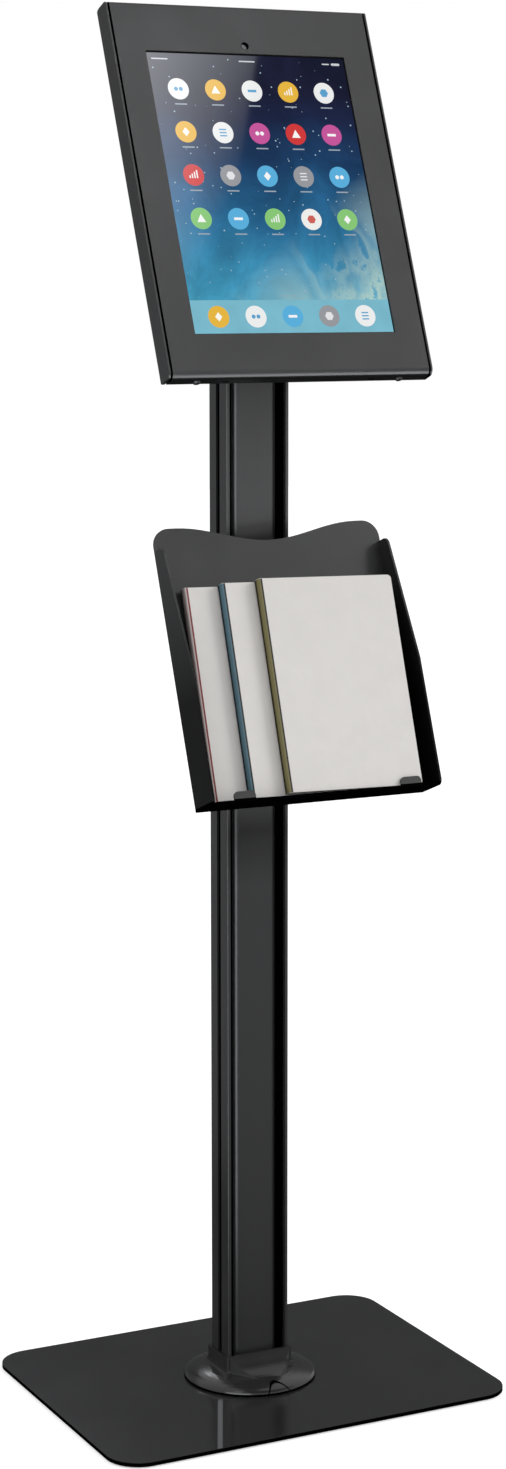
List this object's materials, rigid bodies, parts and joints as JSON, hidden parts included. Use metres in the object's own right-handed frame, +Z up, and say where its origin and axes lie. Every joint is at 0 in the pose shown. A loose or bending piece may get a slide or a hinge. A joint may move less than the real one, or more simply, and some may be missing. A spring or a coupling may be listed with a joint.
{
  "type": "tablet display stand",
  "caption": "Floor stand for a tablet: flat steel base, slotted column, tilting and turning lockable enclosure, and a clamped brochure tray with booklets.",
  "frame": {"origin": "centre of the underside of the base, on the surface that it stands on", "axes": "+Z up along the column, the display faces -Y, +X to the right of someone who looks at the display"},
  "size_m": [0.3048, 0.2332, 0.959],
  "materials": {
    "steel": "fine matt powder coat, near black",
    "column": "matt black powder coat on an extrusion",
    "collar": "fine grained black moulding",
    "zinc": "bright zinc plated",
    "nylon": "natural white",
    "rubber": "matt black",
    "tablet_case": "bead blasted",
    "display_glass": "polished, with a lit display behind it",
    "lens": "polished",
    "cover_paper": null,
    "page_paper": "white paper block"
  },
  "bodies": {
    "root": {"base_plate": "steel", "base_mat": "rubber", "base_screws": "zinc", "base_collar": "collar", "collar_knockout": "collar", "column": "column", "tilt_clevis": "steel", "clevis_screws": "zinc", "tilt_bolt": "zinc", "tilt_nut": "zinc", "tilt_washers": "nylon"},
    "arm": {"tilt_arm": "steel", "sliding_disc": "nylon"},
    "enclosure": {"rotation_plate": "steel", "plate_screws": "zinc", "clinch_nuts": "zinc", "pivot_bolt": "zinc", "spring_washer": "zinc", "pivot_nut": "zinc", "back_shell": "steel", "front_cover": "steel", "security_screws": "zinc", "cover_nuts": "zinc", "corner_pads": "rubber", "foam_strips": "rubber", "tablet_case": "tablet_case", "tablet_glass": "display_glass", "tablet_camera": "lens"},
    "tray": {"brochure_tray": "steel", "tray_bracket": "steel", "tray_screws": "zinc", "tray_nuts": "zinc", "clamp_screws": "zinc", "slot_nuts": "zinc"},
    "booklet_rear": {"booklet_rear_cover": "cover_paper", "booklet_rear_pages": "page_paper"},
    "booklet_middle": {"booklet_middle_cover": "cover_paper", "booklet_middle_pages": "page_paper"},
    "booklet_front": {"booklet_front_cover": "cover_paper", "booklet_front_pages": "page_paper"}
  },
  "joints": [
    {"name": "head_tilt", "type": "hinge", "parent": "root", "child": "arm", "pos_m": [0, 0.008, 0.8215], "axis": [-1, 0, 0], "range_deg": [-21.9, 68.1]},
    {"name": "head_rotate", "type": "hinge", "parent": "arm", "child": "enclosure", "pos_m": [0, 0.008, 0.8215], "axis": [0, -0.9278, 0.373], "range_deg": [-90, 90]},
    {"name": "tray_slide", "type": "slide", "parent": "root", "child": "tray", "axis": [0, 0, 1], "range_m": [-0.34, 0.035]},
    {"name": "booklet_rear_lift", "type": "slide", "parent": "tray", "child": "booklet_rear", "axis": [0, 0.3535, 0.9354], "range_m": [0, 0.06]},
    {"name": "booklet_middle_lift", "type": "slide", "parent": "tray", "child": "booklet_middle", "axis": [0, 0.3535, 0.9354], "range_m": [0, 0.06]},
    {"name": "booklet_front_lift", "type": "slide", "parent": "tray", "child": "booklet_front", "axis": [0, 0.3535, 0.9354], "range_m": [0, 0.06]}
  ]
}
